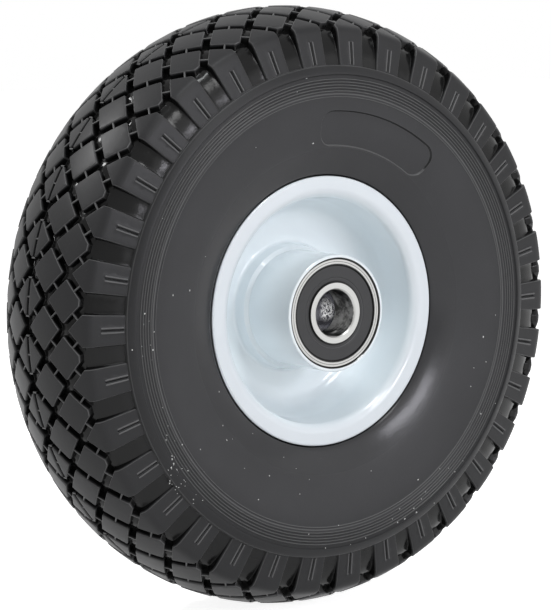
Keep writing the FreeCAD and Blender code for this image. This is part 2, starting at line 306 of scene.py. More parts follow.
def wall_y(radius):
    """Height of the plain sidewall at a radius."""
    out = radius - WALL_ROOT[0]
    return WALL_ROOT[1] + WALL_SLOPE * out - WALL_CURVE * out ** 2


def rib_y(share):
    """Height of the rib beside the lugs at a share of its width, which falls away towards the lugs."""
    return mix(RIB_TOP, RIB_EDGE_Y, share ** RIB_FALL_POWER)


def ring(core, radius, step=2.2, corner_steps=3):
    """Closed ring at a distance round a convex outline, whose corners run anticlockwise."""
    points = []
    for index, here in enumerate(core):
        way_in = here - core[index - 1]
        following = core[(index + 1) % len(core)]
        way_out = following - here
        start = math.atan2(-way_in.x, way_in.y)
        end = math.atan2(-way_out.x, way_out.y)
        turn = (end - start) % math.tau
        for count in range(corner_steps + 1):
            angle = start + turn * count / corner_steps
            points.append(here + radius * Vector((math.cos(angle), math.sin(angle))))
        pieces = max(1, round(way_out.length / step))
        last = following + radius * Vector((math.cos(end), math.sin(end)))
        first = points[-1]
        points += [first.lerp(last, count / pieces) for count in range(1, pieces)]
    return points


def inset(outline, distance):
    """Corners of a convex outline moved inwards."""
    moved = []
    for index, here in enumerate(outline):
        way_in = (here - outline[index - 1]).normalized()
        way_out = (outline[(index + 1) % len(outline)] - here).normalized()
        left_in = Vector((-way_in.y, way_in.x))
        left_out = Vector((-way_out.y, way_out.x))
        moved.append(here + (left_in + left_out) * distance / (1 + left_in.dot(left_out)))
    return moved


def box(left, right, low, high):
    """Corners of an upright box, anticlockwise."""
    return [Vector((left, low)), Vector((right, low)), Vector((right, high)), Vector((left, high))]


def depth_inside(outline, point):
    """Least distance from a point to the sides of a convex outline, below zero outside it."""
    least = math.inf
    for index, here in enumerate(outline):
        way = (here - outline[index - 1]).normalized()
        least = min(least, (point - here).dot(Vector((-way.y, way.x))))
    return least


def divided(corners, pieces):
    """Closed loop through corners, with each side cut into a number of equal pieces."""
    points = []
    for index, (here, count) in enumerate(zip(corners, pieces)):
        following = corners[(index + 1) % len(corners)]
        points += [here.lerp(following, part / count) for part in range(count)]
    return points


def grid(outline, step_round, step_across):
    """Points of a grid within the box round an outline."""
    columns = [point.x for point in outline]
    rows = [point.y for point in outline]
    across_count = max(1, round((max(rows) - min(rows)) / step_across))
    round_count = max(1, round((max(columns) - min(columns)) / step_round))
    for row in range(1, across_count):
        for column in range(1, round_count):
            share = (column + 0.5 * (row % 2)) / round_count
            height = mix(min(rows), max(rows), row / across_count)
            yield Vector((mix(min(columns), max(columns), share), height))


def triangles_of(loops, loose):
    """Triangles over nested loops and loose points, all as (point, drop) spots."""
    spots = [spot for loop in loops for spot in loop]
    edges = []
    start = 0
    for loop in loops:
        edges += [(start + index, start + (index + 1) % len(loop)) for index in range(len(loop))]
        start += len(loop)
    spots += loose
    found = delaunay_2d_cdt([spot[0] for spot in spots], edges, [], 0, 1e-7, True)
    where = found[0]
    source = [origin[0] for origin in found[3]]
    faces = []
    for face in found[2]:
        first, second, third = [where[corner] for corner in face]
        if (second - first).cross(third - first) > 1e-5:
            faces.append([source[corner] for corner in face])
    return spots, faces


def tread_rings(core, crossings):
    """Rings of a block from its top edge down to the floor, as (point, drop) pairs."""
    rounding = EDGE_ROUNDING
    levels = [
        (-rounding, 0.0),
        (-EDGE_MIDDLE * rounding, EDGE_MIDDLE * rounding),
        (0.0, rounding),
    ]
    rings = []
    for offset, drop in levels:
        rings.append([(point, drop) for point in ring(core, CORNER_ROUNDING + offset)])
    foot = []
    for point in ring(core, CORNER_ROUNDING + WALL_DRAFT):
        foot.append((point, floor_at(point, crossings) - FOOT_ROUNDING))
    rings.append(foot)
    base = ring(core, CORNER_ROUNDING + WALL_DRAFT + FOOT_ROUNDING)
    rings.append([(point, floor_at(point, crossings)) for point in base])
    return rings


def tread_cell(cell, pieces, crossings, outline, grid_steps, slits=()):
    """One block with its share of the groove floor round it, as spots and triangles."""
    core = inset(outline, CORNER_ROUNDING)
    loops = [[(point, floor_at(point, crossings)) for point in divided(cell, pieces)]]
    loops += tread_rings(core, crossings)
    for slit, half, drop in slits:
        for width_share, share in SLIT_RINGS:
            loops.append([(point, share * drop) for point in ring(slit, width_share * half, SLIT_STEP, 1)])
    foot = CORNER_ROUNDING + WALL_DRAFT + FOOT_ROUNDING
    loose = []
    for point in grid(cell, *grid_steps):
        inside = depth_inside(core, point)
        clear = all(depth_inside(slit[0], point) < -LUG_SLIT_WIDTH for slit in slits)
        if inside > GRID_MARGIN and clear:
            loose.append((point, 0.0))
        elif inside < -foot - GRID_MARGIN and depth_inside(cell, point) > GRID_MARGIN:
            loose.append((point, floor_at(point, crossings)))
    return triangles_of(loops, loose)


def groove_lines(across):
    """Tyre radius and half a pitch at a row of the tread, and the slope of the groove lines there."""
    radius = skin(across).x
    half_pitch = PITCH * radius / 2
    return radius, half_pitch, math.atan2(ROW, half_pitch)


def diamond_outline(across, cut=None, slit=None):
    """Corners of a diamond of one row, anticlockwise, with its outward point or its inner half cut off."""
    _, half_pitch, slope = groove_lines(across)
    half_round = half_pitch - GROOVE_WIDTH / 2 / math.sin(slope)
    half_across = ROW - GROOVE_WIDTH / 2 / math.cos(slope)
    if slit is not None:
        half_base = half_round * (1 - slit / 2 / half_across)
        return [Vector((-half_base, slit / 2)), Vector((half_base, slit / 2)), Vector((0, half_across))]
    corners = [Vector((0, across - half_across)), Vector((half_round, across))]
    if cut is None:
        corners.append(Vector((0, across + half_across)))
    else:
        half_flat = half_round * (1 - cut / half_across)
        corners += [Vector((half_flat, across + cut)), Vector((-half_flat, across + cut))]
    return corners + [Vector((-half_round, across))]


def lug_outline():
    """Corners of a shoulder lug: a point towards the crown, then straight sides down past the rib."""
    radius, _, slope = groove_lines(2 * ROW)
    tip = 2 * ROW + GROOVE_WIDTH / 2 / math.cos(slope)
    half_width = LUG_HALF_ANGLE * radius
    corner = tip + half_width * math.tan(slope)
    end = CELL_END - BURIED / 2
    return [
        Vector((0, tip)),
        Vector((half_width, corner)),
        Vector((half_width, end)),
        Vector((-half_width, end)),
        Vector((-half_width, corner)),
    ]


def lug_slits():
    """The slit down the lower part of a lug and the ribs beside it, as (outline, half width, drop)."""
    top = CREASE + flank_reach(LUG_SLIT_TOP)
    bottom = FLANK_END - LUG_SLIT_SHORT
    lines = [
        (-LUG_RIB_OFFSET, LUG_RIB_WIDTH, -LUG_RIB_HEIGHT),
        (0.0, LUG_SLIT_WIDTH, LUG_SLIT_DEPTH),
        (LUG_RIB_OFFSET, LUG_RIB_WIDTH, -LUG_RIB_HEIGHT),
    ]
    slits = []
    for middle, width, drop in lines:
        outline = box(middle - SLIT_CORE, middle + SLIT_CORE, top, bottom)
        slits.append((outline, width / 2, drop))
    return slits


def tread_cells():
    """The four kinds of cell on one side of the tyre, as (angle, tyre radius, (spots, triangles))."""
    cells = []
    radius, half_pitch, _ = groove_lines(0)
    middle = [Vector((-half_pitch, 0)), Vector((half_pitch, 0)), Vector((0, ROW))]
    outline = diamond_outline(0, slit=MIDDLE_SLIT)
    cells.append((PITCH / 2, radius, tread_cell(middle, (8, 5, 5), middle, outline, DIAMOND_GRID)))
    for across, angle, cut in ((ROW, 0.0, None), (2 * ROW, PITCH / 2, DIAMOND_CUT)):
        radius, half_pitch, _ = groove_lines(across)
        cell = [
            Vector((0, across - ROW)),
            Vector((half_pitch, across)),
            Vector((0, across + ROW)),
            Vector((-half_pitch, across)),
        ]
        crossings = cell[:2] + cell[3:] if cut else cell
        outline = diamond_outline(across, cut)
        cells.append((angle, radius, tread_cell(cell, (5, 5, 5, 5), crossings, outline, DIAMOND_GRID)))
    radius, half_pitch, _ = groove_lines(2 * ROW)
    cell = [
        Vector((0, 2 * ROW)),
        Vector((half_pitch, 3 * ROW)),
        Vector((half_pitch, CELL_END)),
        Vector((-half_pitch, CELL_END)),
        Vector((-half_pitch, 3 * ROW)),
    ]
    lug = tread_cell(cell, (5, 9, 8, 9, 5), cell[:1], lug_outline(), LUG_GRID, lug_slits())
    cells.append((0.0, radius, lug))
    return cells


def tie_bar(middle, along, reach):
    """Thin bar across a groove, as (point, drop) spots and faces."""
    over = Vector((-along.y, along.x))
    half = TIE_WIDTH / 2
    floor = floor_drop(max(middle.y, 0))
    bevel_run, bevel_drop = TIE_BEVEL
    section = [
        (-half - TIE_FOOT, floor),
        (-half, TIE_DROP + bevel_drop),
        (-half + bevel_run, TIE_DROP),
        (half - bevel_run, TIE_DROP),
        (half, TIE_DROP + bevel_drop),
        (half + TIE_FOOT, floor),
    ]
    spots = []
    for end in (-reach, reach):
        spots += [(middle + over * end + along * place, drop) for place, drop in section]
    count = len(section)
    faces = []
    for index in range(count - 1):
        quad = [index, index + 1, count + index + 1, count + index]
        first, second, third = [spots[corner][0] for corner in quad[:3]]
        if (second - first).cross(third - first) < 0:
            quad = quad[::-1]
        faces.append(quad)
    return spots, faces


def tie_bars():
    """The bars across the middle of each stretch of groove and of each slit in the middle row."""
    bars = []
    reach = GROOVE_WIDTH / 2 + TIE_OVERLAP
    for row, phase in ((0, 0.0), (1, 0.5), (2, 0.0)):
        radius, half_pitch, slope = groove_lines((row + 0.5) * ROW)
        for side in (-1, 1):
            along = Vector((side * math.cos(slope), math.sin(slope)))
            middle = Vector((side * half_pitch / 2, (row + 0.5) * ROW))
            bars.append((phase * PITCH, radius, tie_bar(middle, along, reach)))
    radius, half_pitch, _ = groove_lines(0)
    for place in TIE_PLACES:
        middle = Vector((place * half_pitch, 0))
        bars.append((PITCH / 2, radius, tie_bar(middle, Vector((1, 0)), MIDDLE_SLIT / 2 + TIE_OVERLAP)))
    return bars


def smooth(mesh):
    for polygon in mesh.polygons:
        polygon.use_smooth = True


def shade_smooth(body):
    """Smooth shading that leans on the larger faces, so that small bevels stay crisp."""
    smooth(body.data)
    weighted = body.modifiers.new("weighted", "WEIGHTED_NORMAL")
    weighted.mode = "FACE_AREA_WITH_ANGLE"
    weighted.weight = 80


def linked(name, data):
    """New object that holds the data, linked to the scene."""
    made = bpy.data.objects.new(name, data)
    bpy.context.scene.collection.objects.link(made)
    return made


class Shell:
    """Points, faces and a depth for each point, gathered for one mesh."""

    def __init__(self):
        self.points = []
        self.faces = []
        self.depths = []

    def add(self, points, faces, depths):
        start = len(self.points)
        self.points += points
        self.depths += depths
        self.faces += [[start + corner for corner in face] for face in faces]

    def add_both_sides(self, points, faces, depths):
        """Adds a piece and its mirror image on the other side of the wheel."""
        self.add(points, faces, depths)
        mirrored = [(x, -y, z) for x, y, z in points]
        self.add(mirrored, [face[::-1] for face in faces], depths)

    def build(self, name):
        """Mesh object that keeps the depths as an attribute of its points."""
        mesh = bpy.data.meshes.new(name)
        mesh.from_pydata([Vector(point) * MM for point in self.points], [], self.faces)
        depth = mesh.attributes.new("depth", "FLOAT", "POINT")
        depth.data.foreach_set("value", self.depths)
        return linked(name, mesh)


def turn_round(spot, angle):
    """Point in space of a (radius, y) pair at an angle round the axle."""
    return (spot[0] * math.cos(angle), spot[1], spot[0] * math.sin(angle))


def add_tread(shell):
    """All cells and tie bars of the tread, on both sides of the tyre."""
    for phase, radius, (spots, faces) in tread_cells() + tie_bars():
        flat_points = []
        depths = []
        for point, drop in spots:
            flat_points.append((point.x / radius, tread_spot(max(point.y, 0), drop)))
            depths.append(drop)
        backwards = [face[::-1] for face in faces]
        for pitch in range(PITCHES):
            start = phase + pitch * PITCH
            points = [turn_round(spot, start + angle) for angle, spot in flat_points]
            shell.add_both_sides(points, backwards, depths)


def sidewall_profile():
    """(radius, y) points of one sidewall, from the middle of the seat out to behind the rib."""
    profile = [(SEAT_RADIUS, 0.0), (SEAT_RADIUS, SEAT_Y)]
    bead_y = SEAT_Y + BEAD_BEVEL
    profile += [(SEAT_RADIUS + BEAD_BEVEL, bead_y), (GAP_START, bead_y), (GAP_START, bead_y - GAP_DEPTH)]
    profile += [(LIP_RADIUS, bead_y - GAP_DEPTH), (LIP_RADIUS, LIP_Y)]
    profile += [(LIP_RADIUS + out, LIP_Y + up) for out, up in LIP_SHAPE]
    steps = int((RIDGES[0] - RIDGE_CLEARANCE - WALL_ROOT[0]) / WALL_STEP)
    for step in range(steps + 1):
        radius = WALL_ROOT[0] + step * WALL_STEP
        profile.append((radius, wall_y(radius)))
    for middle, height in zip(RIDGES, RIDGE_HEIGHTS):
        for offset, share in RIDGE_SHAPE:
            radius = middle + offset * RIDGE_HALF_WIDTH
            profile.append((radius, wall_y(radius) + height * share))
    profile += [(RIB_INNER + out, wall_y(RIB_INNER) + up) for out, up in RIB_FOOT_SHAPE]
    profile += [(RIB_INNER + out, RIB_TOP + up) for out, up in RIB_HEAD_SHAPE]
    width = RIB_OUTER - RIB_INNER
    profile += [(RIB_INNER + width * share, rib_y(share)) for share in RIB_FALL_SHARES]
    profile += [(RIB_OUTER + out, RIB_EDGE_Y + up) for out, up in RIB_EDGE_SHAPE]
    profile.append((RIB_OUTER, GAP_FOOT[1] - RIB_ROOT))
    return profile


def add_panel(shell, first, last, radii):
    """Patch of sidewall with the sunken panel in it, which meets the points of the sidewall round it."""
    step = SEGMENT_ANGLE
    low = radii[0]
    high = radii[-1]
    boundary = [((first + count) * step, low) for count in range(last - first)]
    boundary += [(last * step, radius) for radius in radii[:-1]]
    boundary += [((last - count) * step, high) for count in range(last - first)]
    boundary += [(first * step, radius) for radius in radii[:0:-1]]
    middle_radius = sum(PANEL_RADII) / 2
    loops = [[(Vector((angle * middle_radius, radius)), 0.0) for angle, radius in boundary]]
    half = PANEL_HALF_ANGLE * middle_radius - PANEL_ROUNDING
    centre = PANEL_MIDDLE * middle_radius
    inner, outer = PANEL_RADII
    core = box(centre - half, centre + half, inner + PANEL_ROUNDING, outer - PANEL_ROUNDING)
    edges = [
        (PANEL_EDGE_RUN, 0.0),
        (0.0, PANEL_EDGE_DROP),
        (-PANEL_WALL, PANEL_DROP - PANEL_EDGE_DROP),
        (-PANEL_WALL - PANEL_EDGE_RUN, PANEL_DROP),
    ]
    for offset, drop in edges:
        outline = ring(core, PANEL_ROUNDING + offset, PANEL_RING_STEP, PANEL_CORNER_STEPS)
        loops.append([(point, drop) for point in outline])
    loose = []
    patch = box(first * step * middle_radius, last * step * middle_radius, low, high)
    for point in grid(patch, *PANEL_GRID):
        inside = depth_inside(core, point) + PANEL_ROUNDING
        if inside > PANEL_INNER_MARGIN:
            loose.append((point, PANEL_DROP))
        elif inside < -PANEL_OUTER_MARGIN and depth_inside(patch, point) > PANEL_OUTER_MARGIN:
            loose.append((point, 0.0))
    spots, faces = triangles_of(loops, loose)
    points = []
    depths = []
    for point, drop in spots:
        points.append(turn_round((point.y, wall_y(point.y) - drop), point.x / middle_radius))
        # The panel's inner wall is painted lighter as a highlight and its outer wall near-black as shade
        wall_depth = PANEL_HIGHLIGHT_DEPTH if point.y < middle_radius else PANEL_SHADE
        depths.append(wall_depth if 0 < drop < PANEL_DROP else 0.0)
    shell.add_both_sides(points, faces, depths)


def add_sidewalls(shell):
    """Both sidewalls, turned from one profile, with the panel's patch let into each."""
    profile = sidewall_profile()
    step = SEGMENT_ANGLE
    patch_first = int((PANEL_MIDDLE - PANEL_HALF_ANGLE) / step) - PATCH_BEFORE
    patch_last = int((PANEL_MIDDLE + PANEL_HALF_ANGLE) / step) + PATCH_AFTER
    patch_low = PANEL_RADII[0] - 2 * WALL_STEP
    patch_high = PANEL_RADII[1] + 2 * WALL_STEP
    rows = []
    for index, (radius, y) in enumerate(profile):
        if patch_low < radius < patch_high and y == wall_y(radius):
            rows.append(index)
    points = [turn_round(spot, segment * step) for segment in range(SEGMENTS) for spot in profile]
    count = len(profile)
    faces = []
    for segment in range(SEGMENTS):
        following = (segment + 1) % SEGMENTS
        for row in range(count - 1):
            if patch_first <= segment < patch_last and rows[0] <= row < rows[-1]:
                continue
            here = segment * count + row
            ahead = following * count + row
            faces.append([ahead, ahead + 1, here + 1, here])
    shell.add_both_sides(points, faces, [0.0] * len(points))
    add_panel(shell, patch_first, patch_last, [profile[row][0] for row in rows])


def build_tyre():
    """The whole tyre as one mesh, with the touching points of its patches joined."""
    shell = Shell()
    add_tread(shell)
    add_sidewalls(shell)
    body = shell.build("tyre_moulding")
    join = body.modifiers.new("join", "WELD")
    join.merge_threshold = JOIN_REACH * MM
    shade_smooth(body)
    return body


# Rim sheet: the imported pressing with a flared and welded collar, and a flange that stands a little
# further out and has its edge rolled over
HUB_RADIUS = 25.0
SHEET = 1.8
COLLAR_HEIGHT = 7.4
COLLAR_BEND = 1.7
COLLAR_FLARE = 0.9
COLLAR_ROUNDING = 0.5
COLLAR_WELD = 1.5
WELD_SINK = 0.5
WELD_ROUNDING = 0.15
FLANGE_BEND = 2.1
BOWL_BEND = 13.1
WALL_FOOT = 46.62
WALL_TOP = 49.05
FLANGE_Y = 29.1
FLANGE_INNER_ROLL = 4.4
FLANGE_OUTER_ROLL = 1.25
FLANGE_RADIUS = 57.95
FLANGE_ROLL_RADIUS = 56.95
FLANGE_ROLL_STEPS = 6
RIM_SEGMENTS = 240


def rounded(corners, step=0.12):
    """Closed (radius, y) outline through corners, each rounded by its own radius."""
    points = []
    for index, (x, y, rounding) in enumerate(corners):
        here = Vector((x, y))
        before = Vector(corners[index - 1][:2])
        after = Vector(corners[(index + 1) % len(corners)][:2])
        if rounding <= 0:
            points.append(here)
            continue
        back = (before - here).normalized()
        ahead = (after - here).normalized()
        half = back.angle(ahead) / 2
        reach = rounding / math.tan(half)
        centre = here + (back + ahead).normalized() * rounding / math.sin(half)
        first = here + back * reach - centre
        last = here + ahead * reach - centre
        count = max(2, round((math.pi - 2 * half) / step))
        for part in range(count + 1):
            points.append(centre + first.slerp(last, part / count).normalized() * rounding)
    return points


def rim_outline():
    """Section of one rim half on the +Y side, with the flange rolled over towards the tyre."""
    roll = math.asin((FLANGE_RADIUS - FLANGE_ROLL_RADIUS) / FLANGE_OUTER_ROLL)
    rolled = []
    for part in range(1, FLANGE_ROLL_STEPS + 1):
        angle = roll * part / FLANGE_ROLL_STEPS
        radius = FLANGE_ROLL_RADIUS + FLANGE_OUTER_ROLL * math.sin(angle)
        rolled.append((radius, FLANGE_Y - FLANGE_OUTER_ROLL * (1 - math.cos(angle)), 0))
    back_y = FLANGE_Y - SHEET
    return rounded([
        (HUB_RADIUS - WELD_SINK, COLLAR_HEIGHT + COLLAR_WELD, WELD_ROUNDING),
        (HUB_RADIUS + SHEET, COLLAR_HEIGHT, COLLAR_ROUNDING),
        (HUB_RADIUS + SHEET + COLLAR_FLARE, SHEET, COLLAR_BEND),
        (WALL_FOOT, SHEET, BOWL_BEND),
        (WALL_TOP, FLANGE_Y, FLANGE_INNER_ROLL),
        *rolled,
        (FLANGE_RADIUS, back_y, 0),
        (WALL_TOP + SHEET, back_y, FLANGE_BEND),
        (WALL_FOOT + SHEET, 0, BOWL_BEND + SHEET),
        (HUB_RADIUS, 0, COLLAR_BEND + SHEET),
    ])


def turned_mesh(name, outline, side):
    """Mesh that a closed outline makes when it turns round the axle, on one side of the wheel."""
    count = len(outline)
    shell = Shell()
    step = math.tau / RIM_SEGMENTS
    points = []
    for segment in range(RIM_SEGMENTS):
        points += [turn_round((spot[0], side * spot[1]), segment * step) for spot in outline]
    faces = []
    for segment in range(RIM_SEGMENTS):
        start = segment * count
        following = (segment + 1) % RIM_SEGMENTS * count
        for row in range(count):
            ahead = (row + 1) % count
            face = [start + row, start + ahead, following + ahead, following + row]
            faces.append(face if side < 0 else face[::-1])
    shell.add(points, faces, [0.0] * len(points))
    body = shell.build(name)
    shade_smooth(body)
    return body


# Painted rings, in millimetres from the axle: (from, to) where looks fade into each other,
# (middle, half width) for lines, among them lines of painted shade in the bearing's gaps
SKIN_DARKENS = (84.0, 106.0)
SKIN_DULLS = (66.0, 74.0)
# Thin line at the rib's outer edge, painted lighter as a highlight
RIB_EDGE_HIGHLIGHT = (RIB_OUTER - 0.1, 0.25)
RIDGE_BAND = ((RIDGES[0] + RIDGES[-1]) / 2, (RIDGES[-1] - RIDGES[0]) / 2 + 0.3)
# Inside this radius the hub tube's end is painted near-black: painted shade
TUBE_END_SHADE = (23.7, 23.85)
# Where the dish, painted lighter, fades into the flange, painted darker: painted light and shade
DISH_TO_FLANGE = (49.0, 51.5)
# The bore inside this radius is painted near-black in smeared patches: painted shade
BORE_EDGE = (10.1, 10.3)
# Thin grey line round the outer ring's face, painted shade where the face meets its chamfer
RING_FACE_SHADE_LINE = (22.0, 0.16)
# Dark rings in the gaps beside the tube, the seal and its lip: painted shade
TUBE_GAP_SHADE = (22.95, 23.1)
SEAL_GAP_SHADE = (20.7, 0.42)
LIP_GAP_SHADE = (13.3, 0.36)
SEAL_LINE = (15.0, 0.13)
SEAL_OUTER_EDGE = (19.95, 20.2)
SEAL_INNER_EDGE = (13.8, 14.05)

# Painted depths of the tyre, in millimetres below its skin: below FLOOR_DEPTHS floors, slits and the
# panel's outer wall are painted near-black as shade, between EDGE_BEGINS and EDGE_ENDS edges, tie-bar tops
# and the panel's inner wall are painted lighter as highlights, and above PROUD_DEPTHS raised ribs are
# painted lighter as highlights
FLOOR_DEPTHS = (0.7, 1.6)
EDGE_BEGINS = (0.02, 0.12)
EDGE_ENDS = (0.4, 0.75)
PROUD_DEPTHS = (-0.2, -0.05)

# Spots in the bore, in millimetres: (place, reach), for a painted highlight on the bearing's bore, a
# painted highlight on the sleeve and painted shade over the sleeve
BORE_HIGHLIGHT_SPOT = ((7.0, -31.0, -7.2), 6.0)
SLEEVE_HIGHLIGHT_SPOT = ((10.6, -18.0, -0.8), 6.5)
SLEEVE_SHADE_SPOT = ((10.6, -20.0, 0.0), 20.0)
NEAR_CORE = 0.4

# Scales of the lines that a lathe leaves: across the radius and round it
LATHE_FINE = 6.0
LATHE_COARSE = 60.0


class Paint:
    """A material and short ways to add nodes to it."""

    def __init__(self, name, colour, roughness, metallic=0.0):
        self.material = bpy.data.materials.new(name)
        self.material.use_nodes = True
        self.nodes = self.material.node_tree.nodes
        self.links = self.material.node_tree.links
        self.shader = self.nodes["Principled BSDF"]
        self.set("Base Color", (*colour, 1))
        self.set("Roughness", roughness)
        self.set("Metallic", metallic)
        self.place = self.nodes.new("ShaderNodeTexCoord").outputs["Object"]

    def set(self, name, value):
        self.shader.inputs[name].default_value = value

    def feed(self, name, output):
        self.links.new(output, self.shader.inputs[name])

    def connect(self, value, socket):
        """Links an output to a socket, or writes a plain value on it."""
        if isinstance(value, bpy.types.NodeSocket):
            self.links.new(value, socket)
        else:
            socket.default_value = value

    def math(self, operation, first, second=0.0, third=0.0):
        node = self.nodes.new("ShaderNodeMath")
        node.operation = operation
        for value, socket in zip((first, second, third), node.inputs):
            self.connect(value, socket)
        return node.outputs[0]

    def span(self, value, low, high, to_low=0.0, to_high=1.0):
        """The value carried from one range to another, with soft ends."""
        node = self.nodes.new("ShaderNodeMapRange")
        node.interpolation_type = "SMOOTHSTEP"
        amounts = {"Value": value, "From Min": low, "From Max": high, "To Min": to_low, "To Max": to_high}
        for name, amount in amounts.items():
            self.connect(amount, node.inputs[name])
        return node.outputs[0]

    def noise(self, scale, detail=4.0, roughness=0.55, where=None):
        node = self.nodes.new("ShaderNodeTexNoise")
        self.links.new(where or self.place, node.inputs["Vector"])
        node.inputs["Scale"].default_value = scale
        node.inputs["Detail"].default_value = detail
        node.inputs["Roughness"].default_value = roughness
        return node.outputs["Fac"]

    def blend(self, share, first, second):
        """Colour between two colours."""
        node = self.nodes.new("ShaderNodeMix")
        node.data_type = "RGBA"
        self.connect(share, node.inputs[0])
        self.connect(first, node.inputs[6])
        self.connect(second, node.inputs[7])
        return node.outputs[2]

    def bump(self, height, distance, strength=1.0):
        node = self.nodes.new("ShaderNodeBump")
        node.inputs["Strength"].default_value = strength
        node.inputs["Distance"].default_value = distance
        self.links.new(height, node.inputs["Height"])
        self.feed("Normal", node.outputs["Normal"])

    def stretched(self, scale):
        """Object place with each direction scaled on its own."""
        node = self.nodes.new("ShaderNodeVectorMath")
        node.operation = "MULTIPLY"
        self.links.new(self.place, node.inputs[0])
        node.inputs[1].default_value = scale
        return node.outputs[0]

    def radius(self):
        """Distance from the wheel's axle, in millimetres."""
        node = self.nodes.new("ShaderNodeVectorMath")
        node.operation = "LENGTH"
        self.links.new(self.stretched((1 / MM, 0, 1 / MM)), node.inputs[0])
        return node.outputs["Value"]

    def near(self, spot, reach):
        """One close to a spot given in millimetres, and zero beyond its reach."""
        node = self.nodes.new("ShaderNodeVectorMath")
        node.operation = "DISTANCE"
        self.links.new(self.place, node.inputs[0])
        node.inputs[1].default_value = Vector(spot) * MM
        return self.span(node.outputs["Value"], NEAR_CORE * reach * MM, reach * MM, 1.0, 0.0)

    def turned_place(self):
        """Place for rings cut on a lathe: fine across the radius and coarse round it."""
        spread = self.nodes.new("ShaderNodeCombineXYZ")
        self.connect(self.math("MULTIPLY", self.radius(), LATHE_FINE), spread.inputs[0])
        split = self.nodes.new("ShaderNodeSeparateXYZ")
        self.links.new(self.place, split.inputs[0])
        self.connect(self.math("MULTIPLY", split.outputs[0], LATHE_COARSE), spread.inputs[1])
        self.connect(self.math("MULTIPLY", split.outputs[2], LATHE_COARSE), spread.inputs[2])
        return spread.outputs[0]

    def depth(self):
        """How far a point of the tyre lies below its outer skin, in millimetres."""
        node = self.nodes.new("ShaderNodeAttribute")
        node.attribute_name = "depth"
        return node.outputs["Fac"]


def grey(level, blue=1.0):
    return (level, level, level * blue, 1)


def tyre_paint():
    """Charcoal moulded polyurethane: satin, smoother beside the rim and on floors, with edges, lug ribs,
    ridge crests and the rib's edge painted lighter as highlights, floors painted near-black as shade, and a
    fine lighter speckle.
    """
    paint = Paint("moulded_polyurethane", (0.018, 0.018, 0.019), 0.4)
    paint.set("Specular IOR Level", 0.18)
    radius = paint.radius()
    depth = paint.depth()
    sunk = paint.span(depth, *FLOOR_DEPTHS)
    # Block edges, tie-bar tops and the panel's inner wall are painted lighter: painted highlights
    edge = paint.math("MULTIPLY", paint.span(depth, *EDGE_BEGINS), paint.span(depth, *EDGE_ENDS, 1.0, 0.0))
    cloud = paint.noise(28, 3)
    grain = paint.noise(900, 3)
    inner_colour = paint.blend(cloud, grey(0.033, 1.05), grey(0.049, 1.05))
    outer_colour = paint.blend(cloud, grey(0.017, 1.05), grey(0.027, 1.05))
    skin_colour = paint.blend(paint.span(radius, *SKIN_DARKENS), inner_colour, outer_colour)
    from_ridge = paint.math("SUBTRACT", radius, RIDGES[1])
    from_crest = paint.math("PINGPONG", from_ridge, (RIDGES[2] - RIDGES[1]) / 2)
    # Crests of the sidewall ridges are painted lighter: painted highlights
    ridged = paint.math("COMPARE", radius, *RIDGE_BAND)
    crest = paint.math("MULTIPLY", ridged, paint.span(from_crest, 0.1, 0.4, 0.6, 0.0))
    rib_edge_highlight = paint.math("MULTIPLY", paint.math("COMPARE", radius, *RIB_EDGE_HIGHLIGHT), 0.35)
    # Raised ribs on the lugs and the rib's edge line are painted lighter: painted highlights
    proud_highlight = paint.math("MAXIMUM", paint.span(depth, *PROUD_DEPTHS, 0.7, 0.0), rib_edge_highlight)
    raised_highlights = paint.math("MAXIMUM", proud_highlight, crest)
    painted_highlights = paint.math("MAXIMUM", raised_highlights, paint.math("MULTIPLY", edge, 0.6))
    # A fine lighter speckle at random is added to the painted highlights
    highlights_and_speckle = paint.math("MULTIPLY_ADD", paint.span(grain, 0.62, 0.8), 0.1, painted_highlights)
    skin_with_highlights = paint.blend(highlights_and_speckle, skin_colour, grey(0.15, 1.0))
    # Groove floors, slits and the panel's outer wall are painted near-black: painted shade in the recesses
    paint.feed("Base Color", paint.blend(sunk, skin_with_highlights, grey(0.006)))
    polished = paint.span(radius, *SKIN_DULLS, -0.24, 0.0)
    satin = paint.math("ADD", paint.math("MULTIPLY_ADD", cloud, 0.14, 0.33), polished)
    paint.feed("Roughness", paint.math("MULTIPLY_ADD", sunk, -0.24, satin))
    fine = paint.math("MULTIPLY_ADD", paint.noise(260, 2), 1.5, grain)
    paint.bump(fine, 0.00006, 0.35)
    return paint.material


def rim_paint():
    """Gloss white paint with a cool cast and a faint waviness, painted near-black inside the hub tube's end
    as shade, and with the dish painted lighter and the flange darker as painted light and shade.
    """
    paint = Paint("white_paint", (0.80, 0.85, 0.88), 0.3)
    paint.set("Coat Weight", 0.7)
    paint.set("Coat Roughness", 0.05)
    cloud = paint.noise(35, 3)
    # The hub tube's end is painted near-black: painted shade in the gap beside the bearing
    tube_end_shade_mask = paint.span(paint.radius(), *TUBE_END_SHADE, 1.0, 0.0)
    # The dish is painted lighter and the flange darker than the one white paint: painted light and shade
    dish = paint.blend(cloud, (0.805, 0.875, 0.91, 1), (0.855, 0.91, 0.935, 1))
    flange = paint.blend(cloud, (0.70, 0.75, 0.79, 1), (0.75, 0.795, 0.83, 1))
    white = paint.blend(paint.span(paint.radius(), *DISH_TO_FLANGE), dish, flange)
    paint.feed("Base Color", paint.blend(tube_end_shade_mask, white, grey(0.01)))
    paint.feed("Roughness", paint.math("MULTIPLY_ADD", paint.noise(90, 4), 0.15, 0.25))
    peel = paint.math("MULTIPLY_ADD", paint.noise(55, 2), 2.0, paint.noise(420, 2))
    paint.bump(peel, 0.00008, 0.3)
    return paint.material


